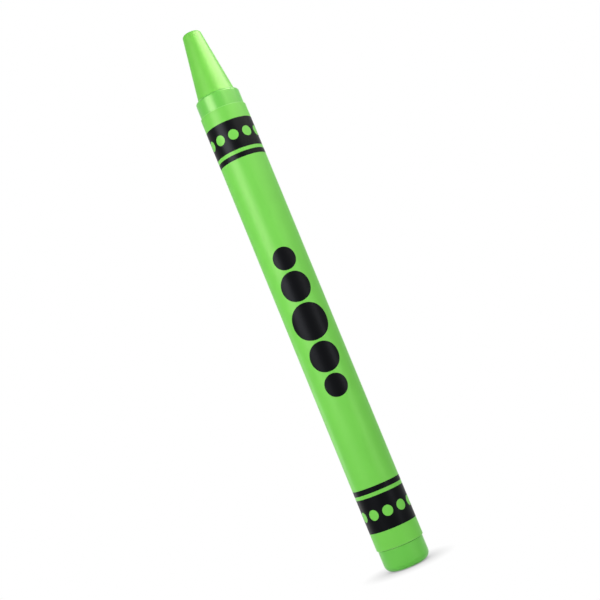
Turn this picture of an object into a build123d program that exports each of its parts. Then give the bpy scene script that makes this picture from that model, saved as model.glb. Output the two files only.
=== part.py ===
"""Twist crayon: a wax stick that a screw drives out of a label-wrapped barrel when the end knob is turned.

The crayon stands on its knob, with the tip up: Z = 0 is the knob's flat base and +Z runs along the axis.
The label's column of dots faces -Y. Lengths are millimetres, angles are degrees, and in the pose shown the
tip's whole cone is out of the nose.
"""

from build123d import *
import math
import os

# Barrel, nose and label
BARREL_DIAMETER = 11.4
BARREL_WALL = 0.75
BARREL_LENGTH = 113.9
COLLAR_HEIGHT = 4.35
COLLAR_SOCKET_DEPTH = 2.8
COLLAR_EDGE_RADIUS = 0.25
NOSE_SPIGOT_WALL = 0.38
LABEL_THICKNESS = 0.30

# Printing on the label
INK_THICKNESS = 0.04
LOWER_BAND_MARGIN = 4.45
LOWER_BAND_WIDTH = 10.7
UPPER_BAND_MARGIN = 3.8
UPPER_BAND_WIDTH = 9.8
BAND_RULE_WIDTH = 1.3
BAND_RULE_GAP = 0.9
BAND_DOT_DIAMETER = 2.6
BAND_DOT_COUNT = 10
DOT_COUNT = 5
DOT_LARGEST = 9.4
DOT_SMALLEST = 5.8
DOT_SPACING = 0.6

# Wax stick
TIP_LENGTH = 17.5
TIP_END_DIAMETER = 4.5
TIP_EDGE_RADIUS = 0.6

# Knob and its drag ring
KNOB_HEIGHT = 5.7
KNOB_EDGE_RADIUS = 1.9
KNOB_SPIGOT_LENGTH = 4.2
DRAG_RING_SECTION = 1.0
DRAG_RING_SIDE_PLAY = 0.1

# Drive screw
SCREW_DIAMETER = 3.2
THREAD_DEPTH = 0.5
THREAD_LEAD = 6.0
THREAD_STARTS = 2
THREAD_CREST_ANGLE = 60.0
THREAD_ROOT_ANGLE = 80.0
TANG_WIDTH = 2.0
TANG_LENGTH = 7.0
JOURNAL_MARGIN = 0.1
FLANGE_THICKNESS = 1.0

# Guide sleeve and the carriage that slides in it
SLEEVE_WALL = 0.5
BULKHEAD_THICKNESS = 1.6
RIB_COUNT = 3
RIB_HEIGHT = 0.5
RIB_WIDTH = 1.2
NUT_LENGTH = 6.0
TUBE_WALL = 0.6
TUBE_SEAT = 2.0
CUP_FLOOR = 2.6
CUP_FLOOR_SEAT = 1.6
CUP_DEPTH = 7.0
CUP_WALL = 0.8
JAW_COUNT = 4
JAW_SLIT = 0.7
JAW_SLIT_DEPTH = 5.0

# Clearances: each one is on the radius or on one face
PRESS_GAP = 0.02
RUNNING_GAP = 0.08
SLIDING_GAP = 0.12
STICK_GAP = 0.10
DRAG_RING_GAP = 0.03
KNOB_FACE_GAP = 0.05
END_PLAY = 0.10
STOP_GAP = 0.5
TUBE_SCREW_GAP = 0.25
THREAD_GAP = 0.20
FLANGE_RIB_GAP = 0.30
TIP_RECESS = 1.0
CUP_NOSE_MARGIN = 2.0

# Radii, from the outside in
barrel_r = BARREL_DIAMETER / 2
bore_r = barrel_r - BARREL_WALL
label_inner_r = barrel_r + PRESS_GAP
label_r = barrel_r + LABEL_THICKNESS
ink_inner_r = label_r + PRESS_GAP
ink_r = ink_inner_r + INK_THICKNESS
nose_spigot_r = bore_r + NOSE_SPIGOT_WALL
stick_r = bore_r - STICK_GAP
cup_r = bore_r - SLIDING_GAP
cup_inner_r = cup_r - CUP_WALL
tail_r = cup_inner_r - PRESS_GAP
knob_spigot_r = bore_r - RUNNING_GAP
ring_center_r = bore_r - DRAG_RING_GAP - DRAG_RING_SECTION / 2
ring_groove_r = ring_center_r - DRAG_RING_SECTION / 2 - PRESS_GAP
sleeve_r = bore_r - PRESS_GAP
sleeve_inner_r = sleeve_r - SLEEVE_WALL
rib_r = sleeve_inner_r - RIB_HEIGHT
nut_r = sleeve_inner_r - SLIDING_GAP
nut_groove_r = rib_r - SLIDING_GAP
crest_r = SCREW_DIAMETER / 2
core_r = crest_r - THREAD_DEPTH
journal_r = TANG_WIDTH / math.sqrt(2) + JOURNAL_MARGIN
flange_r = rib_r - FLANGE_RIB_GAP
tube_inner_r = crest_r + TUBE_SCREW_GAP
tube_r = tube_inner_r + TUBE_WALL
tube_seat_r = tube_r + PRESS_GAP

# Heights, from the knob's base up
barrel_rear = KNOB_HEIGHT + KNOB_FACE_GAP
barrel_front = barrel_rear + BARREL_LENGTH
collar_front = barrel_front + COLLAR_HEIGHT
collar_lip = barrel_front + COLLAR_SOCKET_DEPTH
tip_end = collar_front + TIP_LENGTH
knob_spigot_end = barrel_rear + KNOB_SPIGOT_LENGTH
ring_height = (barrel_rear + knob_spigot_end) / 2
bulkhead_rear = knob_spigot_end + END_PLAY
bulkhead_front = bulkhead_rear + BULKHEAD_THICKNESS
flange_rear = bulkhead_front + END_PLAY
thread_start = flange_rear + FLANGE_THICKNESS
tang_end = knob_spigot_end - TANG_LENGTH

# Travel: the cup goes from the sleeve's front to just behind the nose, and the nut stays in the sleeve
nut_retracted = thread_start + STOP_GAP
cup_advanced = collar_lip - CUP_NOSE_MARGIN - CUP_FLOOR - CUP_DEPTH
travel = (cup_advanced - nut_retracted - NUT_LENGTH - 2 * STOP_GAP) / 2
retract_travel = TIP_LENGTH + TIP_RECESS
advance_travel = travel - retract_travel
sleeve_front = nut_retracted + travel + NUT_LENGTH + STOP_GAP
screw_end = sleeve_front
nut_rear = nut_retracted + retract_travel
nut_front = nut_rear + NUT_LENGTH
tube_rear = nut_front - TUBE_SEAT
cup_rear = sleeve_front + STOP_GAP + retract_travel
tube_front = cup_rear + CUP_FLOOR_SEAT
stick_rear = cup_rear + CUP_FLOOR
cup_front = stick_rear + CUP_DEPTH

# Places of the printing
lower_band_low = barrel_rear + LOWER_BAND_MARGIN
upper_band_high = barrel_front - UPPER_BAND_MARGIN
label_middle = (barrel_rear + barrel_front) / 2


def disc(radius, bottom, top):
    """A solid round slice of the axis."""
    slice_ = Cylinder(radius, top - bottom, align=(Align.CENTER, Align.CENTER, Align.MIN))
    return Pos(0, 0, bottom) * slice_


def ring(outer, inner, bottom, top):
    """A round slice with a round hole through it."""
    return disc(outer, bottom, top) - disc(inner, bottom, top)


def spokes(count, outer, inner, width, bottom, top):
    """Pieces of a ring, evenly spaced, each as wide as a straight bar through the axis."""
    reach = outer + width
    bar = Box(reach, width, top - bottom, align=(Align.MIN, Align.CENTER, Align.MIN))
    bars = [Rot(0, 0, i * 360 / count) * Pos(0, 0, bottom) * bar for i in range(count)]
    return [ring(outer, inner, bottom, top) & b for b in bars]


def polar(radius, angle):
    """A point at an angle on a circle about the axis."""
    return (radius * math.cos(math.radians(angle)), radius * math.sin(math.radians(angle)))


def thread_section(gap=0.0):
    """The screw's cross-section: one flat crest per start, grown by a gap for the nut."""
    crest, root = crest_r + gap, core_r + gap
    crest_half = THREAD_CREST_ANGLE / 2 + math.degrees(gap / crest_r)
    root_half = THREAD_ROOT_ANGLE / 2 - math.degrees(gap / core_r)
    step = 360 / THREAD_STARTS
    edges = []
    for i in range(THREAD_STARTS):
        top, low = i * step, (i + 0.5) * step
        crest_from, crest_to = polar(crest, top - crest_half), polar(crest, top + crest_half)
        root_from, root_to = polar(root, low - root_half), polar(root, low + root_half)
        edges.append(ThreePointArc(crest_from, polar(crest, top), crest_to))
        edges.append(Line(crest_to, root_from))
        edges.append(ThreePointArc(root_from, polar(root, low), root_to))
        edges.append(Line(root_to, polar(crest, top + step - crest_half)))
    return make_face(edges).face()


def thread(bottom, top, gap=0.0):
    """A left-hand multi-start thread, in phase with every other piece of it along the axis."""
    turn_per_mm = -360 / THREAD_LEAD
    section = Pos(0, 0, bottom) * Rot(0, 0, turn_per_mm * (bottom - thread_start)) * thread_section(gap)
    rise = (0, 0, top - bottom)
    return Solid.extrude_linear_with_rotation(section, (0, 0, bottom), rise, turn_per_mm * (top - bottom))


def barrel():
    """Body tube, stepped at the front to enter the nose collar."""
    tube = ring(barrel_r, bore_r, barrel_rear, barrel_front)
    return tube + ring(nose_spigot_r, bore_r, barrel_front, collar_lip - END_PLAY)


def nose_collar():
    """Front ring that caps the barrel and guides the stick."""
    body = ring(barrel_r, bore_r, barrel_front, collar_front)
    body -= disc(nose_spigot_r + PRESS_GAP, barrel_front, collar_lip)
    front = body.edges().filter_by(GeomType.CIRCLE).group_by(Axis.Z)[-1].sort_by(SortBy.RADIUS)[-1]
    return fillet(front, COLLAR_EDGE_RADIUS)


def label():
    """Paper wrapped and glued round the whole barrel."""
    return ring(label_r, label_inner_r, barrel_rear, barrel_front)


def round_pin(angle, height, diameter):
    """A round pin that points out of the axis at an angle from -Y and a height."""
    pin = Cylinder(diameter / 2, 2 * ink_r, align=(Align.CENTER, Align.CENTER, Align.MIN))
    return Pos(0, 0, height) * Rot(0, 0, angle) * Rot(90, 0, 0) * pin


def ink_band(low, width, rule_at_top):
    """A printed band: a broad ring with a row of open dots, and a narrow rule beside it."""
    broad = width - BAND_RULE_WIDTH - BAND_RULE_GAP
    broad_low = low if rule_at_top else low + width - broad
    rule_low = low + width - BAND_RULE_WIDTH if rule_at_top else low
    middle = broad_low + broad / 2
    step = 360 / BAND_DOT_COUNT
    openings = [round_pin(i * step, middle, BAND_DOT_DIAMETER) for i in range(BAND_DOT_COUNT)]
    field = ring(ink_r, ink_inner_r, broad_low, broad_low + broad) - openings
    rule = ring(ink_r, ink_inner_r, rule_low, rule_low + BAND_RULE_WIDTH)
    return Compound(children=[*field.solids(), *rule.solids()])


def ink_dots():
    """A printed column of round dots up the front, largest in the middle."""
    middle = (DOT_COUNT - 1) / 2
    taper = (DOT_LARGEST - DOT_SMALLEST) / middle
    diameters = [DOT_LARGEST - taper * abs(i - middle) for i in range(DOT_COUNT)]
    low = label_middle - (sum(diameters) + DOT_SPACING * (DOT_COUNT - 1)) / 2
    skin = ring(ink_r, ink_inner_r, barrel_rear, barrel_front)
    dots = []
    for diameter in diameters:
        dots += (skin & round_pin(0, low + diameter / 2, diameter)).solids()
        low += diameter + DOT_SPACING
    return Compound(children=dots)


def twist_knob():
    """End knob with a spigot in the barrel's rear, a groove for the drag ring and a square socket."""
    body = disc(barrel_r, 0, KNOB_HEIGHT)
    base = body.edges().filter_by(GeomType.CIRCLE).sort_by(Axis.Z)[0]
    body = fillet(base, KNOB_EDGE_RADIUS)
    body += disc(knob_spigot_r, KNOB_HEIGHT, knob_spigot_end)
    half_groove = DRAG_RING_SECTION / 2 + DRAG_RING_SIDE_PLAY
    body -= ring(barrel_r, ring_groove_r, ring_height - half_groove, ring_height + half_groove)
    socket_width = TANG_WIDTH + 2 * PRESS_GAP
    socket_depth = TANG_LENGTH + END_PLAY
    socket = Box(socket_width, socket_width, socket_depth, align=(Align.CENTER, Align.CENTER, Align.MAX))
    return body - Pos(0, 0, knob_spigot_end) * socket


def drag_ring():
    """Rubber ring that keeps the knob where it is left."""
    return Pos(0, 0, ring_height) * Torus(ring_center_r, DRAG_RING_SECTION / 2)


def drive_screw():
    """Screw with a square tang for the knob, a journal in the bulkhead, a thrust flange and the thread."""
    tang_top = knob_spigot_end
    tang = Box(TANG_WIDTH, TANG_WIDTH, tang_top - tang_end, align=(Align.CENTER, Align.CENTER, Align.MIN))
    body = Pos(0, 0, tang_end) * tang
    body += disc(journal_r, tang_top, flange_rear)
    body += disc(flange_r, flange_rear, thread_start)
    return body + thread(flange_rear + FLANGE_THICKNESS / 2, screw_end)


def guide_sleeve():
    """Liner glued in the barrel: a bulkhead that holds the screw, and ribs that stop the nut turning."""
    body = ring(sleeve_r, sleeve_inner_r, bulkhead_rear, sleeve_front)
    body += ring(sleeve_r, journal_r + RUNNING_GAP, bulkhead_rear, bulkhead_front)
    root = sleeve_inner_r + SLEEVE_WALL / 2
    return body + spokes(RIB_COUNT, root, rib_r, RIB_WIDTH, bulkhead_front, sleeve_front)


def drive_nut():
    """Nut that rides the screw, grooved for the sleeve's ribs, with a seat for the push tube."""
    body = disc(nut_r, nut_rear, nut_front)
    body -= spokes(RIB_COUNT, sleeve_r, nut_groove_r, RIB_WIDTH + 2 * SLIDING_GAP, nut_rear, nut_front)
    body -= disc(tube_seat_r, tube_rear, nut_front)
    return body - thread(nut_rear - END_PLAY, tube_rear + END_PLAY, THREAD_GAP)


def push_tube():
    """Plain tube round the screw, from the nut to the cup."""
    return ring(tube_r, tube_inner_r, tube_rear, tube_front)


def crayon_cup():
    """Cup with slit jaws that grips the stick's tail."""
    body = disc(cup_r, cup_rear, cup_front) - disc(cup_inner_r, stick_rear, cup_front)
    body -= disc(tube_seat_r, cup_rear, tube_front)
    slit_low = cup_front - JAW_SLIT_DEPTH
    return body - spokes(JAW_COUNT, barrel_r, tail_r, JAW_SLIT, slit_low, cup_front)


def crayon_stick():
    """Wax stick with a stepped tail and a moulded cone."""
    tip_r = TIP_END_DIAMETER / 2
    cone = Cone(stick_r, tip_r, TIP_LENGTH, align=(Align.CENTER, Align.CENTER, Align.MIN))
    body = disc(tail_r, stick_rear, cup_front) + disc(stick_r, cup_front, collar_front)
    body += Pos(0, 0, collar_front) * cone
    end = body.edges().filter_by(GeomType.CIRCLE).sort_by(Axis.Z)[-1]
    return fillet(end, TIP_EDGE_RADIUS)


def main():
    """Builds every piece and writes one STEP file for each."""
    pieces = {
        "barrel": barrel(),
        "nose_collar": nose_collar(),
        "label": label(),
        "ink_band_lower": ink_band(lower_band_low, LOWER_BAND_WIDTH, True),
        "ink_band_upper": ink_band(upper_band_high - UPPER_BAND_WIDTH, UPPER_BAND_WIDTH, False),
        "ink_dots": ink_dots(),
        "twist_knob": twist_knob(),
        "drag_ring": drag_ring(),
        "drive_screw": drive_screw(),
        "guide_sleeve": guide_sleeve(),
        "drive_nut": drive_nut(),
        "push_tube": push_tube(),
        "crayon_cup": crayon_cup(),
        "crayon_stick": crayon_stick(),
    }
    os.makedirs("parts", exist_ok=True)
    for name, shape in pieces.items():
        export_step(shape, f"parts/{name}.step")
    turns = travel / THREAD_LEAD
    print(f"overall length {tip_end:.2f}, label diameter {2 * label_r:.2f}")
    print(f"travel {travel:.3f}: back {retract_travel:.3f}, out {advance_travel:.3f}, {turns:.3f} turns")


main()
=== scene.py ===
# %% [markdown]
# # A twist-up crayon
# The frame already holds every working piece of the crayon at its real size: barrel, knob, screw,
# nut, cup and stick. This lesson gives the pieces that show a finer mesh, gives every piece a
# finish, and lights the crayon softly on a white floor. Lengths are metres, the crayon stands on
# its knob with the tip up, and the front is -Y.

# %% Load the frame
import math

import bmesh
import bpy
from mathutils import Matrix, Vector


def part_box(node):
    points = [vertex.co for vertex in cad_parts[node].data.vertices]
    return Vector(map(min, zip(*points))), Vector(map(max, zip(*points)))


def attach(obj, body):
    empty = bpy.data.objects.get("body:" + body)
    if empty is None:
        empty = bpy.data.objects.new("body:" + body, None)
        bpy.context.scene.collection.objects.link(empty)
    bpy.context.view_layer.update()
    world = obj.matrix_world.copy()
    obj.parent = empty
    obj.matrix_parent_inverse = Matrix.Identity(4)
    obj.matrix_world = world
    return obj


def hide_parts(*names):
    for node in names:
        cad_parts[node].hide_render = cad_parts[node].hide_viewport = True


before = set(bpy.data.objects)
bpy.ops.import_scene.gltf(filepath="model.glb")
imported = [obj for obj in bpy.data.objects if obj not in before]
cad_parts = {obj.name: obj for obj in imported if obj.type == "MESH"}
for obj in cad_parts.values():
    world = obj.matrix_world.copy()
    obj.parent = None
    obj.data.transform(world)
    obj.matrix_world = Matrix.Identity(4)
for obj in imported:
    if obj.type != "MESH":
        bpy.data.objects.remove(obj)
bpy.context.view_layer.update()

MM = 0.001
print("nodes:", sorted(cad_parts))

# %% [markdown]
# ## The camera
# The photograph looks a little up at the crayon from the height of its lower third, and is turned
# so that the tip leans to the upper left. Leaning the crayon would move the frame, so the camera
# is rolled instead. A long lens from close by gives the same slight taper from base to tip.

# %% Camera
LENS = 67.21
SENSOR_WIDTH = 36.0
CAMERA_DISTANCE = 273.7 * MM
CAMERA_HEIGHT = 43.42 * MM
CAMERA_SIDE = -0.07 * MM
CAMERA_AZIMUTH = math.radians(-2.3)
CAMERA_PITCH = math.radians(5.32)
CAMERA_ROLL = math.radians(-22.33)
CLIP_START = 10 * MM

bpy.ops.object.select_all(action="DESELECT")
bpy.ops.object.camera_add()
camera = bpy.context.object
camera.data.lens = LENS
camera.data.sensor_width = SENSOR_WIDTH
camera.data.clip_start = CLIP_START
around = Matrix.Rotation(CAMERA_AZIMUTH, 4, "Z")
stand = Matrix.Translation((CAMERA_SIDE, -CAMERA_DISTANCE, CAMERA_HEIGHT))
look = Matrix.Rotation(math.pi / 2 + CAMERA_PITCH, 4, "X") @ Matrix.Rotation(CAMERA_ROLL, 4, "Z")
camera.matrix_world = around @ stand @ look
bpy.context.scene.camera = camera
print("camera at", [round(v / MM, 1) for v in camera.matrix_world.translation], "mm")

# %% [markdown]
# ## Measure before modelling
# Every new piece stands where its node of the frame stands, so the main heights and radii are
# read from the frame. A round node's box gives its bottom, its top and its radius.

# %% Heights and radii from the frame
def reach(node):
    """A round node's bottom, top and radius."""
    low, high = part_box(node)
    return low.z, high.z, high.x


collar_low, collar_top, barrel_radius = reach("nose_collar")
stick_low, tip_top, stick_radius = reach("crayon_stick")
cup_front = reach("crayon_cup")[1]
label_low, label_top = reach("label")[:2]
knob_low, spigot_top, knob_radius = reach("twist_knob")
print("label from", round(label_low / MM, 2), "to", round(label_top / MM, 2), "mm")
print("nose ring up to", round(collar_top / MM, 2), "mm")

# %% [markdown]
# ## Turning round pieces
# A stick, a ring and a knob are all round about one axis. They could be spun from a profile;
# pulling a circle up ring by ring does the same and lets each ring be named by its radius and
# height. Rings are then found again by that place to be closed or rounded, and weighted normals
# keep the long walls flat beside the small roundings.

# %% Helpers for turned pieces
ROUND_SIDES = 192
HAIR = 0.0005 * MM


def begin_piece(name):
    """Names the primitive just added, puts its place into its mesh and opens it for editing."""
    piece = bpy.context.object
    piece.name = name
    piece.data.name = name
    bpy.ops.object.transform_apply(location=True, rotation=True, scale=True)
    bpy.ops.object.mode_set(mode="EDIT")
    bpy.ops.mesh.select_mode(type="EDGE")
    return piece


def select_ring(piece, radius, height):
    """Selects the edges that lie round the axis at one radius and height."""
    bpy.ops.mesh.select_all(action="DESELECT")
    mesh = bmesh.from_edit_mesh(piece.data)
    for edge in mesh.edges:
        at_radius = all(abs(v.co.xy.length - radius) < HAIR for v in edge.verts)
        at_height = all(abs(v.co.z - height) < HAIR for v in edge.verts)
        if at_radius and at_height:
            edge.select_set(True)
    mesh.select_flush_mode()
    bmesh.update_edit_mesh(piece.data)


def turned(name, stations):
    """Pulls a circle through (radius, height) stations along the axis."""
    radius, height = stations[0]
    bpy.ops.object.select_all(action="DESELECT")
    bpy.ops.mesh.primitive_circle_add(vertices=ROUND_SIDES, radius=radius, location=(0, 0, height))
    piece = begin_piece(name)
    bpy.ops.mesh.select_all(action="SELECT")
    for next_radius, next_height in stations[1:]:
        rise = next_height - height
        grow = next_radius / radius
        bpy.ops.mesh.extrude_edges_move(TRANSFORM_OT_translate={"value": (0, 0, rise)})
        bpy.ops.transform.resize(value=(grow, grow, 1), center_override=(0, 0, next_height))
        radius, height = next_radius, next_height
    return piece

# %% Closing, rounding and shading
SHARP_ANGLE = math.radians(40)


def close_end(piece, radius, height):
    """Draws the open ring at a place in to the axis, with one ring halfway."""
    select_ring(piece, radius, height)
    bpy.ops.mesh.extrude_edges_move(TRANSFORM_OT_translate={"value": (0, 0, 0)})
    bpy.ops.transform.resize(value=(0.5, 0.5, 1), center_override=(0, 0, height))
    bpy.ops.mesh.extrude_edges_move(TRANSFORM_OT_translate={"value": (0, 0, 0)})
    bpy.ops.mesh.merge(type="CENTER")


def round_ring(piece, radius, height, size, steps):
    """Rounds the ring of edges at a place."""
    select_ring(piece, radius, height)
    bpy.ops.mesh.bevel(offset=size, segments=steps, affect="EDGES")


def close_up(piece, turn_faces=True):
    """Merges what lies together, turns the faces outwards if asked and leaves edit mode."""
    bpy.ops.mesh.select_all(action="SELECT")
    bpy.ops.mesh.remove_doubles(threshold=HAIR)
    if turn_faces:
        bpy.ops.mesh.normals_make_consistent(inside=False)
    bpy.ops.object.mode_set(mode="OBJECT")
    return piece


def smooth(piece):
    """Smooth shading that keeps true edges, with flat walls left flat."""
    bpy.ops.object.select_all(action="DESELECT")
    piece.select_set(True)
    bpy.context.view_layer.objects.active = piece
    bpy.ops.object.shade_smooth_by_angle(angle=SHARP_ANGLE)
    bpy.ops.object.modifier_add(type="WEIGHTED_NORMAL")
    bpy.context.object.modifiers[-1].keep_sharp = True
    bpy.ops.object.modifier_apply(modifier=piece.modifiers[-1].name)
    low = [round(min(v.co[i] for v in piece.data.vertices) / MM, 2) for i in range(3)]
    high = [round(max(v.co[i] for v in piece.data.vertices) / MM, 2) for i in range(3)]
    print(piece.name, "faces", len(piece.data.polygons), "from", low, "to", high)
    return piece

# %% [markdown]
# ## The wax stick
# The stick is cast in one mould: a thin tail that the cup grips, a plain shank that slides in the
# barrel, and the cone that draws. The cone ends in a small flat with a blunt edge. It is turned
# in one go, and only the blunt edge and the shoulder at the tail are rounded afterwards.

# %% Wax stick
TAIL_RADIUS = 4.01 * MM
TIP_RADIUS = 2.36 * MM
TIP_BLUNT = 0.6 * MM
TAIL_EDGE = 0.3 * MM
CONE_EASE = 0.12 * MM
TIP_STEPS = 6
EASE_STEPS = 3

cone_top = tip_top - HAIR
stick = turned("wax_stick", [
    (TAIL_RADIUS, stick_low),
    (TAIL_RADIUS, cup_front),
    (stick_radius, cup_front),
    (stick_radius, collar_top),
    (TIP_RADIUS, cone_top),
])
close_end(stick, TAIL_RADIUS, stick_low)
close_end(stick, TIP_RADIUS, cone_top)
round_ring(stick, TIP_RADIUS, cone_top, TIP_BLUNT, TIP_STEPS)
round_ring(stick, stick_radius, collar_top, CONE_EASE, EASE_STEPS)
round_ring(stick, stick_radius, cup_front, TAIL_EDGE, EASE_STEPS)
round_ring(stick, TAIL_RADIUS, stick_low, TAIL_EDGE, EASE_STEPS)
smooth(close_up(stick))
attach(stick, "carriage")
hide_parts("crayon_stick")

# %% [markdown]
# ## The nose ring
# A short ring caps the barrel and guides the stick. It sockets over the barrel's front, so its
# section is an L. Pulling a circle round that section and back to its start makes a closed ring,
# and merging the last circle with the first seals it. Its outer front edge is softened the most,
# because that is where fingers and light find it.

# %% Nose ring
SOCKET_RADIUS = 5.35 * MM
BORE_RADIUS = 4.95 * MM
LIP_HEIGHT = 1.55 * MM
NOSE_EDGE = 0.60 * MM
BORE_EDGE = 0.08 * MM
NOSE_STEPS = 5
BORE_STEPS = 2

lip_low = collar_top - LIP_HEIGHT
nose = turned("nose_ring", [
    (barrel_radius, collar_low),
    (barrel_radius, collar_top),
    (BORE_RADIUS, collar_top),
    (BORE_RADIUS, lip_low),
    (SOCKET_RADIUS, lip_low),
    (SOCKET_RADIUS, collar_low),
    (barrel_radius, collar_low),
])
close_up(nose)
bpy.ops.object.mode_set(mode="EDIT")
round_ring(nose, barrel_radius, collar_top, NOSE_EDGE, NOSE_STEPS)
round_ring(nose, BORE_RADIUS, collar_top, BORE_EDGE, BORE_STEPS)
smooth(close_up(nose))
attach(nose, "body")
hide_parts("nose_collar")

# %% [markdown]
# ## The knob
# The knob is the plain stub at the base that turns the screw. Above it a spigot enters the
# barrel, with a groove for the rubber ring and a square socket for the screw. The round part is
# turned, the lower edge gets its large rounding, and a cube cuts the socket. Under the base, a
# shallow dimple with a small nub in it is where the plastic entered the mould; it is drawn first,
# as the innermost rings of the turning.

# %% Knob
KNOB_FACE_GAP = 0.05 * MM
SPIGOT_RADIUS = 4.87 * MM
GROOVE_RADIUS = 3.90 * MM
GROOVE_HALF = 0.60 * MM
KNOB_ROUNDING = 1.9 * MM
KNOB_TOP_EDGE = 0.18 * MM
SPIGOT_EDGE = 0.15 * MM
DIMPLE_RADIUS = 2.1 * MM
DIMPLE_DEPTH = 0.30 * MM
NUB_RADIUS = 0.55 * MM
NUB_HEIGHT = 0.15 * MM
BASE_STEPS = 9
TOP_STEPS = 5

knob_top = label_low - KNOB_FACE_GAP
groove_height = sum(reach("drag_ring")[:2]) / 2
dimple_floor = knob_low + DIMPLE_DEPTH
nub_low = dimple_floor - NUB_HEIGHT
knob = turned("end_knob", [
    (NUB_RADIUS, nub_low),
    (NUB_RADIUS, dimple_floor),
    (DIMPLE_RADIUS - DIMPLE_DEPTH, dimple_floor),
    (DIMPLE_RADIUS, knob_low),
    (knob_radius, knob_low),
    (knob_radius, knob_top),
    (SPIGOT_RADIUS, knob_top),
    (SPIGOT_RADIUS, groove_height - GROOVE_HALF),
    (GROOVE_RADIUS, groove_height - GROOVE_HALF),
    (GROOVE_RADIUS, groove_height + GROOVE_HALF),
    (SPIGOT_RADIUS, groove_height + GROOVE_HALF),
    (SPIGOT_RADIUS, spigot_top),
])
close_end(knob, NUB_RADIUS, nub_low)
close_end(knob, SPIGOT_RADIUS, spigot_top)
round_ring(knob, knob_radius, knob_low, KNOB_ROUNDING, BASE_STEPS)
round_ring(knob, knob_radius, knob_top, KNOB_TOP_EDGE, TOP_STEPS)
round_ring(knob, SPIGOT_RADIUS, spigot_top, SPIGOT_EDGE, EASE_STEPS)
close_up(knob)

# %% Socket in the knob
SOCKET_WIDTH = 2.04 * MM
SOCKET_DEPTH = 7.1 * MM
SOCKET_OVERCUT = 1.0 * MM


def cut(piece, tool):
    """Cuts one piece with another, which is used up."""
    bpy.ops.object.select_all(action="DESELECT")
    bpy.context.view_layer.objects.active = piece
    bpy.ops.object.modifier_add(type="BOOLEAN")
    modifier = piece.modifiers[-1]
    modifier.operation = "DIFFERENCE"
    modifier.solver = "EXACT"
    modifier.object = tool
    bpy.ops.object.modifier_apply(modifier=modifier.name)
    bpy.data.objects.remove(tool)
    return piece


bpy.ops.object.select_all(action="DESELECT")
socket_middle = spigot_top - SOCKET_DEPTH / 2
bpy.ops.mesh.primitive_cube_add(size=1, location=(0, 0, socket_middle + SOCKET_OVERCUT / 2))
socket = bpy.context.object
socket.scale = (SOCKET_WIDTH, SOCKET_WIDTH, SOCKET_DEPTH + SOCKET_OVERCUT)
bpy.ops.object.transform_apply(location=True, rotation=True, scale=True)
smooth(cut(knob, socket))
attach(knob, "knob")
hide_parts("twist_knob")

# %% [markdown]
# ## How the label lies
# The label is a strip of coloured paper glued round the barrel. Its first turn lies flat on the
# barrel. Its second turn ends in a lap: near the end the paper climbs over its own beginning and
# leaves one fine step down the back. The strip and the printing are laid out flat, as a printer
# would, and this function says where each point of the flat sheet ends up: an angle round the
# axis, and the radius of the sheet's outer face there.

# %% From the flat sheet to the crayon
PAPER = 0.080 * MM
LAP_AIR = 0.005 * MM
INK_PROUD = 0.008 * MM
INK_SUNK = 0.010 * MM
LAP = 4.2 * MM
CLIMB = 2.6 * MM
SEAM_ANGLE = math.radians(108)

ink_radius = reach("ink_band_lower")[2]
sheet_radius = ink_radius - INK_PROUD - PAPER - LAP_AIR
turn = 2 * math.pi * sheet_radius
sheet_length = turn + LAP


def lies_at(x):
    """Angle and outer radius of the sheet at a distance along it from its hidden edge."""
    angle = SEAM_ANGLE + (x - LAP) / sheet_radius
    share = min(max((x - turn + CLIMB) / CLIMB, 0), 1)
    climbed = share * share * (3 - 2 * share)
    return angle, sheet_radius + climbed * (PAPER + LAP_AIR)


def roll(piece):
    """Rolls a flat piece round the axis: x runs along the sheet, y is height, z stands off it."""
    for vertex in piece.data.vertices:
        angle, radius = lies_at(vertex.co.x)
        out = radius + vertex.co.z
        vertex.co = (out * math.cos(angle), out * math.sin(angle), vertex.co.y)
    piece.data.update()
    return piece


print("sheet radius", round(sheet_radius / MM, 3), "mm, length", round(sheet_length / MM, 2), "mm")

# %% [markdown]
# ## The paper label
# The outer turn is a grid of small faces, rolled up and given the thickness of paper with
# Solidify, so the lap has a real edge. Its cut ends are softened by a hair, enough to catch a
# line of light. The first turn below it is a plain tube, and the two are joined into one piece.
# Both already face outwards by then, so their faces aren't turned again: on a thin wall that is
# rolled up, Blender can take the inside for the outside.

# %% Outer turn of the label
SHEET_STEPS = 232
SHEET_ROWS = 24

bpy.ops.object.select_all(action="DESELECT")
bpy.ops.mesh.primitive_grid_add(x_subdivisions=SHEET_STEPS, y_subdivisions=SHEET_ROWS, size=1,
                                location=(sheet_length / 2, (label_low + label_top) / 2, 0))
bpy.context.object.scale = (sheet_length, label_top - label_low, 1)
sheet = begin_piece("paper_label")
close_up(sheet)
roll(sheet)
bpy.ops.object.modifier_add(type="SOLIDIFY")
sheet.modifiers[-1].thickness = PAPER
sheet.modifiers[-1].offset = -1
bpy.ops.object.modifier_apply(modifier=sheet.modifiers[-1].name)

# %% First turn of the label
GLUE_GAP = 0.02 * MM

inner_radius = barrel_radius + GLUE_GAP
under_radius = sheet_radius - PAPER - LAP_AIR
first_turn = turned("first_turn", [
    (under_radius, label_low),
    (under_radius, label_top),
    (inner_radius, label_top),
    (inner_radius, label_low),
    (under_radius, label_low),
])
close_up(first_turn)


def join(pieces, name):
    """Joins pieces into the first of them, under a new name."""
    bpy.ops.object.select_all(action="DESELECT")
    for piece in pieces:
        piece.select_set(True)
    bpy.context.view_layer.objects.active = pieces[0]
    bpy.ops.object.join()
    pieces[0].name = name
    pieces[0].data.name = name
    return pieces[0]


join([sheet, first_turn], "paper_label")

# %% Softened ends of the label
CUT_EDGE = 0.06 * MM
CUT_STEPS = 2

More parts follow.
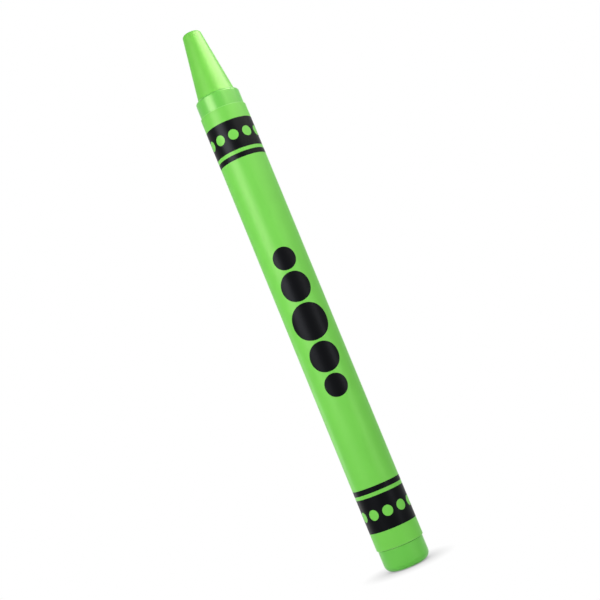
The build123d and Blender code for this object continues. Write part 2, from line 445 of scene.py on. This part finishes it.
bpy.ops.object.mode_set(mode="EDIT")
bpy.ops.mesh.select_mode(type="EDGE")
bpy.ops.mesh.select_all(action="DESELECT")
rim = bmesh.from_edit_mesh(sheet.data)
for edge in rim.edges:
    at_end = all(min(abs(v.co.z - label_low), abs(v.co.z - label_top)) < HAIR for v in edge.verts)
    outside = all(v.co.xy.length > sheet_radius - HAIR for v in edge.verts)
    if at_end and outside:
        edge.select_set(True)
rim.select_flush_mode()
bmesh.update_edit_mesh(sheet.data)
bpy.ops.mesh.bevel(offset=CUT_EDGE, segments=CUT_STEPS, affect="EDGES")
smooth(close_up(sheet, turn_faces=False))
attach(sheet, "body")
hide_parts("label")

# %% [markdown]
# ## Printing plates
# The black printing is a skin of ink a few thousandths of a millimetre proud of the paper. Each
# patch starts as a flat plate, thick enough to be cut cleanly. Round dots are cut out of it, it
# is sliced into narrow strips so that it can follow the curve, and it is then rolled on with its
# thickness pressed down to that of ink.

# %% Helpers for printing
PLATE = 1.0 * MM
DOT_SIDES = 72
STRIP_ANGLE = math.radians(2)


def plate(name, low, high):
    """A flat plate with its corners at two points of the sheet."""
    bpy.ops.object.select_all(action="DESELECT")
    middle = ((low[0] + high[0]) / 2, (low[1] + high[1]) / 2, PLATE / 2)
    bpy.ops.mesh.primitive_cube_add(size=1, location=middle)
    bpy.context.object.scale = (high[0] - low[0], high[1] - low[1], PLATE)
    piece = begin_piece(name)
    return close_up(piece)


def plug(x, y, diameter, height):
    """A round plug through the plate, or a round plate where it is as high as one."""
    bpy.ops.object.select_all(action="DESELECT")
    bpy.ops.mesh.primitive_cylinder_add(vertices=DOT_SIDES, radius=diameter / 2, depth=height,
                                        location=(x, y, PLATE / 2))
    piece = begin_piece("plug")
    return close_up(piece)


def slice_at(piece, places):
    """Slices a flat piece across at places along x, and keeps every strip joined."""
    bpy.ops.object.select_all(action="DESELECT")
    piece.select_set(True)
    bpy.context.view_layer.objects.active = piece
    bpy.ops.object.mode_set(mode="EDIT")
    for x in places:
        bpy.ops.mesh.select_all(action="SELECT")
        bpy.ops.mesh.bisect(plane_co=(x, 0, 0), plane_no=(1, 0, 0))
    bpy.ops.object.mode_set(mode="OBJECT")
    return piece


def press_down(piece):
    """Presses a plate down to the ink's thickness, part sunk into the paper and part proud."""
    for vertex in piece.data.vertices:
        vertex.co.z = -INK_SUNK + (INK_SUNK + INK_PROUD) * vertex.co.z / PLATE
    return piece


def print_on(piece, node):
    """Shades a printed patch and hands it to the frame in place of its node."""
    bpy.context.view_layer.objects.active = piece
    bpy.ops.object.mode_set(mode="EDIT")
    smooth(close_up(piece))
    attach(piece, "body")
    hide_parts(node)
    return piece

# %% [markdown]
# ## The two printed bands
# Each end of the label carries a broad black band with a row of dots left open, and a narrow rule
# on the side of the column of dots. A band runs once round, from the lap's edge to a hair short
# of it again, where the cut paper shows. Its dots are spaced by angle from the front, and none of
# them falls on the seam.

# %% Printed bands
RULE_WIDTH = 1.3 * MM
RULE_GAP = 0.9 * MM
DOT_DIAMETER = 2.6 * MM
DOT_COUNT = 10
FRONT_ANGLE = -math.pi / 2
CUT_MARGIN = 0.10 * MM
CUT_THROUGH = 3 * PLATE

print_end = sheet_length - CUT_MARGIN


def along(angle):
    """Distance along the sheet of an angle round the axis, on the turn that shows."""
    return LAP + ((angle - SEAM_ANGLE) % (2 * math.pi)) * sheet_radius


def printed_band(name, node, rule_at_top):
    """One band of a broad field with dots and a narrow rule."""
    low, high = reach(node)[:2]
    field_low = low if rule_at_top else low + RULE_WIDTH + RULE_GAP
    field_high = high - RULE_WIDTH - RULE_GAP if rule_at_top else high
    rule_low = high - RULE_WIDTH if rule_at_top else low
    band = plate(name, (LAP, field_low), (print_end, field_high))
    for i in range(DOT_COUNT):
        x = along(FRONT_ANGLE + 2 * math.pi * i / DOT_COUNT)
        cut(band, plug(x, (field_low + field_high) / 2, DOT_DIAMETER, CUT_THROUGH))
    rule = plate("rule", (LAP, rule_low), (print_end, rule_low + RULE_WIDTH))
    join([band, rule], name)
    strips = round(2 * math.pi / STRIP_ANGLE)
    slice_at(band, [LAP + turn * i / strips for i in range(1, strips)])
    return print_on(roll(press_down(band)), node)


band_low = printed_band("print_band_low", "ink_band_lower", True)
band_high = printed_band("print_band_high", "ink_band_upper", False)

# %% [markdown]
# ## The column of dots
# Up the front stand five black dots, largest in the middle. They are printed round on the flat
# sheet and rolled on with it, so each one narrows a little where the paper turns away from the
# eye, as print on a round label does.

# %% Printed dots
COLUMN_COUNT = 5
COLUMN_LARGEST = 9.4 * MM
COLUMN_SMALLEST = 5.8 * MM
COLUMN_SPACING = 0.6 * MM

height = reach("ink_dots")[0]
middle = (COLUMN_COUNT - 1) / 2
column = []
for i in range(COLUMN_COUNT):
    diameter = COLUMN_LARGEST - (COLUMN_LARGEST - COLUMN_SMALLEST) * abs(i - middle) / middle
    column.append(plug(along(FRONT_ANGLE), height + diameter / 2, diameter, PLATE))
    height += diameter + COLUMN_SPACING
dots = join(column, "print_dots")
half_angle = COLUMN_LARGEST / 2 / sheet_radius
strips = round(2 * half_angle / STRIP_ANGLE)
slice_at(dots, [along(FRONT_ANGLE + half_angle * (2 * i / strips - 1)) for i in range(1, strips)])
print_on(roll(press_down(dots)), "ink_dots")

# %% [markdown]
# ## Shared effects
# Paint, paper and wax are never one even colour. Three small node groups are used by several
# finishes: a mottle that shifts a colour lighter and darker, a fine grain that feeds a bump, and
# rub marks that show handling. Each puts out a colour, a height or a mask, and each finish gives
# it its own scale and strength.

# %% Node helpers
INTERFACE_KINDS = {
    "float": "NodeSocketFloat",
    "color": "NodeSocketColor",
    "vector": "NodeSocketVector",
}


def new_group(name, takes, gives):
    """An empty node group with named sockets, and its input and output nodes."""
    group = bpy.data.node_groups.new(name, "ShaderNodeTree")
    for label, kind in takes.items():
        group.interface.new_socket(name=label, in_out="INPUT", socket_type=INTERFACE_KINDS[kind])
    for label, kind in gives.items():
        group.interface.new_socket(name=label, in_out="OUTPUT", socket_type=INTERFACE_KINDS[kind])
    return group, group.nodes.new("NodeGroupInput"), group.nodes.new("NodeGroupOutput")


def add_node(tree, kind, values=None, **settings):
    """A node with its settings and the values of its inputs; a value that is a socket is linked."""
    node = tree.nodes.new(kind)
    for key, value in settings.items():
        setattr(node, key, value)
    for key, value in (values or {}).items():
        if isinstance(value, bpy.types.NodeSocket):
            tree.links.new(value, node.inputs[key])
        else:
            node.inputs[key].default_value = value
    return node


def calc(tree, operation, *values):
    """The result of a Math node on one to three numbers or sockets."""
    return add_node(tree, "ShaderNodeMath", dict(enumerate(values)), operation=operation).outputs[0]

# %% Mottle, grain and rub marks
MOTTLE_DETAIL = 4.0
GRAIN_DETAIL = 5.0
GRAIN_FALLOFF = 0.6
RUB_DETAIL = 6.0
RUB_FALLOFF = 0.7
RUB_STRETCH = 0.35
RUB_RARITY = 0.78
RUB_SOFTNESS = 0.10


def make_mottle():
    """A colour made lighter and darker in soft clouds."""
    group, takes, gives = new_group(
        "mottle",
        {"Color": "color", "Vector": "vector", "Scale": "float", "Amount": "float"},
        {"Color": "color"},
    )
    clouds = add_node(group, "ShaderNodeTexNoise", {
        "Vector": takes.outputs["Vector"],
        "Scale": takes.outputs["Scale"],
        "Detail": MOTTLE_DETAIL,
    })
    centred = calc(group, "SUBTRACT", clouds.outputs["Fac"], 0.5)
    shift = calc(group, "MULTIPLY_ADD", centred, takes.outputs["Amount"], 1.0)
    tint = add_node(group, "ShaderNodeHueSaturation",
                    {"Value": shift, "Color": takes.outputs["Color"]})
    group.links.new(tint.outputs["Color"], gives.inputs["Color"])
    return group


def make_grain():
    """Height of a fine grain that can be drawn out along the axis."""
    group, takes, gives = new_group(
        "grain", {"Vector": "vector", "Scale": "float", "Stretch": "float"}, {"Height": "float"})
    squeeze = add_node(group, "ShaderNodeCombineXYZ",
                       {"X": 1.0, "Y": 1.0, "Z": takes.outputs["Stretch"]})
    drawn = add_node(group, "ShaderNodeVectorMath",
                     {0: takes.outputs["Vector"], 1: squeeze.outputs[0]}, operation="MULTIPLY")
    fine = add_node(group, "ShaderNodeTexNoise", {
        "Vector": drawn.outputs[0],
        "Scale": takes.outputs["Scale"],
        "Detail": GRAIN_DETAIL,
        "Roughness": GRAIN_FALLOFF,
    })
    group.links.new(fine.outputs["Fac"], gives.inputs["Height"])
    return group


def make_rub_marks():
    """A mask of small scattered rubs, longer along the axis than across it."""
    group, takes, gives = new_group(
        "rub_marks", {"Vector": "vector", "Scale": "float", "Cover": "float"}, {"Mask": "float"})
    drawn = add_node(group, "ShaderNodeVectorMath",
                     {0: takes.outputs["Vector"], 1: (1.0, 1.0, RUB_STRETCH)}, operation="MULTIPLY")
    patches = add_node(group, "ShaderNodeTexNoise", {
        "Vector": drawn.outputs[0],
        "Scale": takes.outputs["Scale"],
        "Detail": RUB_DETAIL,
        "Roughness": RUB_FALLOFF,
    })
    starts = calc(group, "SUBTRACT", RUB_RARITY, takes.outputs["Cover"])
    full = calc(group, "ADD", starts, RUB_SOFTNESS)
    mask = add_node(group, "ShaderNodeMapRange", {
        "Value": patches.outputs["Fac"],
        "From Min": starts,
        "From Max": full,
    }, interpolation_type="SMOOTHSTEP")
    group.links.new(mask.outputs["Result"], gives.inputs["Mask"])
    return group


mottle_group = make_mottle()
grain_group = make_grain()
rub_group = make_rub_marks()
print("shared effects:", [g.name for g in (mottle_group, grain_group, rub_group)])

# %% [markdown]
# ## One recipe for every finish
# All finishes have the same bones: a colour with mottle, rub marks that pale the colour and
# change the gloss, and a grain under a bump. A function lays these out, and each finish below
# gives its own values. Gloss that is even all over is set straight on the shader, so that an
# exported copy keeps it.

# %% The shared recipe
WHITE = (1, 1, 1)
RUB_TINT = (0.75, 0.85, 0.65, 1)


def place_group(tree, group, values):
    """Puts a shared effect into a material with its own values."""
    return add_node(tree, "ShaderNodeGroup", values, node_tree=group)


def make_finish(name, color, mottle, grain, rubs, roughness, specular, sheen_color=WHITE):
    """A finish from its colour and settings, with scales in features per metre.

    mottle is (scale, amount), grain is (scale, stretch, depth in metres),
    rubs is (scale, cover, strength), and roughness is (plain, rubbed).
    """
    material = bpy.data.materials.new(name)
    material.use_nodes = True
    material.diffuse_color = (*color, 1)
    tree = material.node_tree
    shader = tree.nodes["Principled BSDF"]
    place = add_node(tree, "ShaderNodeTexCoord").outputs["Object"]
    clouds = place_group(tree, mottle_group, {
        "Color": (*color, 1),
        "Vector": place,
        "Scale": mottle[0],
        "Amount": mottle[1],
    })
    rubbed = place_group(tree, rub_group, {"Vector": place, "Scale": rubs[0], "Cover": rubs[1]})
    share = calc(tree, "MULTIPLY", rubbed.outputs["Mask"], rubs[2])
    paled = add_node(tree, "ShaderNodeMix",
                     {"Factor": share, 6: clouds.outputs["Color"], 7: RUB_TINT}, data_type="RGBA")
    gloss = add_node(tree, "ShaderNodeMapRange", {
        "Value": rubbed.outputs["Mask"],
        "To Min": roughness[0],
        "To Max": roughness[1],
    })
    fine = place_group(tree, grain_group, {"Vector": place, "Scale": grain[0], "Stretch": grain[1]})
    bump = add_node(tree, "ShaderNodeBump", {
        "Height": fine.outputs["Height"],
        "Distance": grain[2],
        "Strength": 1.0,
    })
    tree.links.new(paled.outputs[2], shader.inputs["Base Color"])
    tree.links.new(gloss.outputs["Result"], shader.inputs["Roughness"])
    tree.links.new(bump.outputs["Normal"], shader.inputs["Normal"])
    shader.inputs["Specular IOR Level"].default_value = specular
    shader.inputs["Specular Tint"].default_value = (*sheen_color, 1)
    return material


def give(objects, material):
    """Puts one finish on whole objects."""
    for item in objects:
        item.data.materials.clear()
        item.data.materials.append(material)
    print(material.name, "on", [o.name for o in objects])

# %% [markdown]
# ## Wax, plastic, paper and ink
# The wax is a soft, slightly cloudy green with a satin skin. The plastic of the nose ring and the
# knob is the same green, a little deeper, with a fine moulded texture. The paper is evenly
# printed green with a fibre grain, and the ink is a matte black that hardly mirrors anything.

# %% Outer finishes
WARM_GLOSS = (1.0, 0.97, 0.70)
COOL_GLOSS = (0.88, 0.90, 1.0)

wax = make_finish("green_wax", (0.160, 0.64, 0.056), mottle=(240.0, 0.20),
                  grain=(420.0, 0.5, 0.035 * MM), rubs=(500.0, 0.10, 0.10),
                  roughness=(0.48, 0.56), specular=0.3, sheen_color=WARM_GLOSS)
plastic = make_finish("green_plastic", (0.151, 0.61, 0.077), mottle=(180.0, 0.06),
                      grain=(4200.0, 1.0, 0.006 * MM), rubs=(700.0, 0.06, 0.08),
                      roughness=(0.32, 0.44), specular=0.28, sheen_color=WARM_GLOSS)
paper = make_finish("green_paper", (0.186, 0.657, 0.085), mottle=(140.0, 0.09),
                    grain=(3000.0, 0.6, 0.008 * MM), rubs=(420.0, 0.08, 0.06),
                    roughness=(0.40, 0.52), specular=0.16, sheen_color=WARM_GLOSS)
ink = make_finish("black_ink", (0.0012, 0.0014, 0.0020), mottle=(300.0, 0.3),
                  grain=(3000.0, 0.6, 0.006 * MM), rubs=(600.0, 0.05, 0.01),
                  roughness=(0.36, 0.46), specular=0.06, sheen_color=COOL_GLOSS)
print("outer finishes:", [m.name for m in (wax, plastic, paper, ink)])

# %% [markdown]
# ## Cut edges of the paper, partly a painted highlight
# Paper that is coloured on its face is paler where it is cut. The label therefore gets a fine
# pale line along its two ends and down the lap. Part of that pale line is a painted highlight,
# standing in for light caught by the softened ends and by the step of the lap. The two ends are
# found by height, and the lap by the distance past the seam's angle, so the lines stay on the
# paper from every side.

# %% Pale cuts and painted highlight
# The pale tint is partly the paler cut paper and partly a painted highlight on the softened edges
# and the lap's step.
CUT_AND_SHEEN_TINT = (0.38, 0.79, 0.24, 1)
EDGE_REACH = 0.12 * MM
EDGE_FULL = EDGE_REACH / 3


def end_mask(tree, place, low, high):
    """1 along the two ends of the sheet, at its lowest and highest."""
    height = add_node(tree, "ShaderNodeSeparateXYZ", {0: place}).outputs["Z"]
    away = calc(tree, "ABSOLUTE", calc(tree, "SUBTRACT", height, (low + high) / 2))
    half = (high - low) / 2
    mask = add_node(tree, "ShaderNodeMapRange", {
        "Value": away,
        "From Min": half - EDGE_REACH,
        "From Max": half - EDGE_FULL,
    }, interpolation_type="SMOOTHSTEP")
    return mask.outputs["Result"]


def distance_along(tree, place, direction):
    """How far a place lies from the axis along a level direction."""
    return add_node(tree, "ShaderNodeVectorMath", {0: place, 1: direction},
                    operation="DOT_PRODUCT").outputs["Value"]


def lap_mask(tree, place):
    """1 along the cut edge of the lap, on the paper that ends there."""
    outward = (math.cos(SEAM_ANGLE), math.sin(SEAM_ANGLE), 0)
    onward = (-outward[1], outward[0], 0)
    past = distance_along(tree, place, onward)
    near = add_node(tree, "ShaderNodeMapRange", {
        "Value": past,
        "From Min": -EDGE_REACH,
        "From Max": -EDGE_FULL,
    }, interpolation_type="SMOOTHSTEP")
    before = calc(tree, "LESS_THAN", past, HAIR)
    behind = calc(tree, "GREATER_THAN", distance_along(tree, place, outward), 0.0)
    edge = calc(tree, "MULTIPLY", near.outputs["Result"], before)
    return calc(tree, "MULTIPLY", edge, behind)


def pale_cuts_and_painted_sheen(material, low, high):
    """Pales a finish where the sheet was cut, along its two ends and down the lap: paler cut paper
    and a painted highlight on those edges.
    """
    tree = material.node_tree
    base = tree.nodes["Principled BSDF"].inputs["Base Color"]
    place = add_node(tree, "ShaderNodeTexCoord").outputs["Object"]
    mask = calc(tree, "MAXIMUM", end_mask(tree, place, low, high), lap_mask(tree, place))
    tinted = add_node(tree, "ShaderNodeMix",
                      {"Factor": mask, 6: base.links[0].from_socket, 7: CUT_AND_SHEEN_TINT},
                      data_type="RGBA")
    tree.links.new(tinted.outputs[2], base)


# Paints the pale lines on the paper: paler cut paper, partly a painted highlight.
pale_cuts_and_painted_sheen(paper, label_low, label_top)
give([stick], wax)
give([nose, knob], plastic)
give([sheet], paper)
give([band_low, band_high, dots], ink)

# %% [markdown]
# ## Inside pieces
# The barrel is moulded in the outer green. The mechanism is natural white plastic with faint flow
# clouds, and the drag ring is matte black rubber. These nodes of the frame already have the right
# shape, so they only get a finish.

# %% Inner finishes
MECHANISM = ("guide_sleeve", "drive_screw", "drive_nut", "push_tube", "crayon_cup")

white_plastic = make_finish("white_plastic", (0.78, 0.78, 0.74), mottle=(220.0, 0.05),
                            grain=(3800.0, 1.0, 0.006 * MM), rubs=(600.0, 0.06, 0.05),
                            roughness=(0.40, 0.50), specular=0.5)
rubber = make_finish("black_rubber", (0.02, 0.02, 0.02), mottle=(500.0, 0.25),
                     grain=(5200.0, 1.0, 0.01 * MM), rubs=(900.0, 0.08, 0.03),
                     roughness=(0.62, 0.75), specular=0.4)
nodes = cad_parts
give([nodes["barrel"]], plastic)
give([nodes[name] for name in MECHANISM], white_plastic)
give([nodes["drag_ring"]], rubber)

# %% [markdown]
# ## Floor and world
# The photograph has a pure white ground with only a soft grey shadow at the foot. The camera sees
# the floor as white paper that is darker where the crayon hides the light from the left, which an
# ambient occlusion node measures with its normal leant to that side. All other light meets a
# plain matte floor. The world is white to the camera and in reflections, and a little dimmer as a
# lamp, so that the soft boxes can still model the round shapes.

# %% Floor
FLOOR_SIZE = 3.0
FLOOR_GREY = (0.86, 0.86, 0.86, 1)
SHADOW_REACH = 7 * MM
SHADOW_DEPTH = 0.65
SHADOW_SAMPLES = 32
LIGHT_SIDE = (-0.62, -0.36, 0.70)

bpy.ops.object.select_all(action="DESELECT")
bpy.ops.mesh.primitive_plane_add(size=FLOOR_SIZE, location=(0, 0, 0))
floor = bpy.context.object
floor.name = "floor"
ground = bpy.data.materials.new("white_floor")
ground.use_nodes = True
tree = ground.node_tree
tree.nodes.clear()


def seen_directly(tree):
    """1 for rays from the camera, a reflection or a transmission."""
    rays = add_node(tree, "ShaderNodeLightPath").outputs
    mirrored = calc(tree, "MAXIMUM", rays["Is Camera Ray"], rays["Is Glossy Ray"])
    return calc(tree, "MAXIMUM", mirrored, rays["Is Transmission Ray"])


open_sky = add_node(tree, "ShaderNodeAmbientOcclusion",
                    {"Distance": SHADOW_REACH, "Normal": LIGHT_SIDE}, samples=SHADOW_SAMPLES)
shade = add_node(tree, "ShaderNodeMapRange", {
    "Value": open_sky.outputs["AO"],
    "To Min": 1 - SHADOW_DEPTH,
    "To Max": 1.0,
})
white = add_node(tree, "ShaderNodeEmission", {"Strength": shade.outputs["Result"]})
matte = add_node(tree, "ShaderNodeBsdfDiffuse", {"Color": FLOOR_GREY})
mixed = add_node(tree, "ShaderNodeMixShader",
                 {0: seen_directly(tree), 1: matte.outputs[0], 2: white.outputs[0]})
add_node(tree, "ShaderNodeOutputMaterial", {"Surface": mixed.outputs[0]})
floor.data.materials.append(ground)
print("floor", FLOOR_SIZE, "m wide")

# %% World
FILL_LEVEL = 0.54

world = bpy.data.worlds.new("studio")
bpy.context.scene.world = world
world.use_nodes = True
tree = world.node_tree
tree.nodes.clear()
level = add_node(tree, "ShaderNodeMapRange",
                 {"Value": seen_directly(tree), "To Min": FILL_LEVEL, "To Max": 1.0})
sky = add_node(tree, "ShaderNodeBackground",
               {"Color": (*WHITE, 1), "Strength": level.outputs["Result"]})
add_node(tree, "ShaderNodeOutputWorld", {"Surface": sky.outputs[0]})
print("fill level", FILL_LEVEL)

# %% [markdown]
# ## Lamps
# Soft boxes shape the crayon. Three give plain light alone: the key hangs close by on the left,
# so the light falls off to the right and towards the foot, a small side box keeps the right of
# the nose from going dark, and a back box lights what the camera doesn't see here. Four are there
# for their mirror image alone. The strip box leaves the pale strip down the upper label and the
# nose ring. The rim box and the edge box stand low, and leave a faint strip down the right and a
# thin pale rim down the left of the lower label. The tip box is a little warm and hangs high on
# the right, where the sloping cone mirrors it most.

# %% Soft boxes
TIP_GLOW = (1.0, 0.97, 0.84)


def soft_box(name, azimuth, height, distance, width, tall, radiance, target, color=WHITE):
    """An area lamp at an angle from the front, positive to the right, aimed at the axis."""
    angle = math.radians(azimuth)
    place = Vector((math.sin(angle) * distance, -math.cos(angle) * distance, height))
    bpy.ops.object.select_all(action="DESELECT")
    bpy.ops.object.light_add(type="AREA", location=place)
    lamp = bpy.context.object
    lamp.name = name
    lamp.data.shape = "RECTANGLE"
    lamp.data.size = width
    lamp.data.size_y = tall
    lamp.data.energy = radiance * math.pi * width * tall
    lamp.data.color = color
    lamp.rotation_euler = (Vector((0, 0, target)) - place).to_track_quat("-Z", "Y").to_euler()
    lamp.visible_camera = False
    print(name, "at", [round(v, 3) for v in place], "watts", round(lamp.data.energy, 2))
    return lamp


plain_boxes = [
    soft_box("key_box", azimuth=-38, height=0.092, distance=0.125,
             width=0.08, tall=0.09, radiance=3.6, target=0.092),
    soft_box("side_box", azimuth=62, height=0.19, distance=0.10,
             width=0.06, tall=0.08, radiance=4.3, target=0.125),
    soft_box("back_box", azimuth=170, height=0.10, distance=0.30,
             width=0.20, tall=0.20, radiance=2.0, target=0.07),
]
mirror_boxes = [
    soft_box("strip_box", azimuth=-46, height=0.21, distance=0.45,
             width=0.32, tall=0.17, radiance=21.0, target=0.21),
    soft_box("rim_box", azimuth=45, height=0.045, distance=0.25,
             width=0.08, tall=0.09, radiance=8.2, target=0.04),
    soft_box("edge_box", azimuth=-130, height=0.03, distance=0.20,
             width=0.08, tall=0.06, radiance=3.3, target=0.03),
    soft_box("tip_box", azimuth=69, height=0.44, distance=0.40,
             width=0.74, tall=0.22, radiance=25.5, target=0.15, color=TIP_GLOW),
]
for lamp in plain_boxes:
    lamp.visible_glossy = False
for lamp in mirror_boxes:
    lamp.visible_diffuse = False

# %% [markdown]
# The picture is shown as it is, with the plain view transform.

# %% View transform
bpy.context.scene.view_settings.view_transform = "Standard"
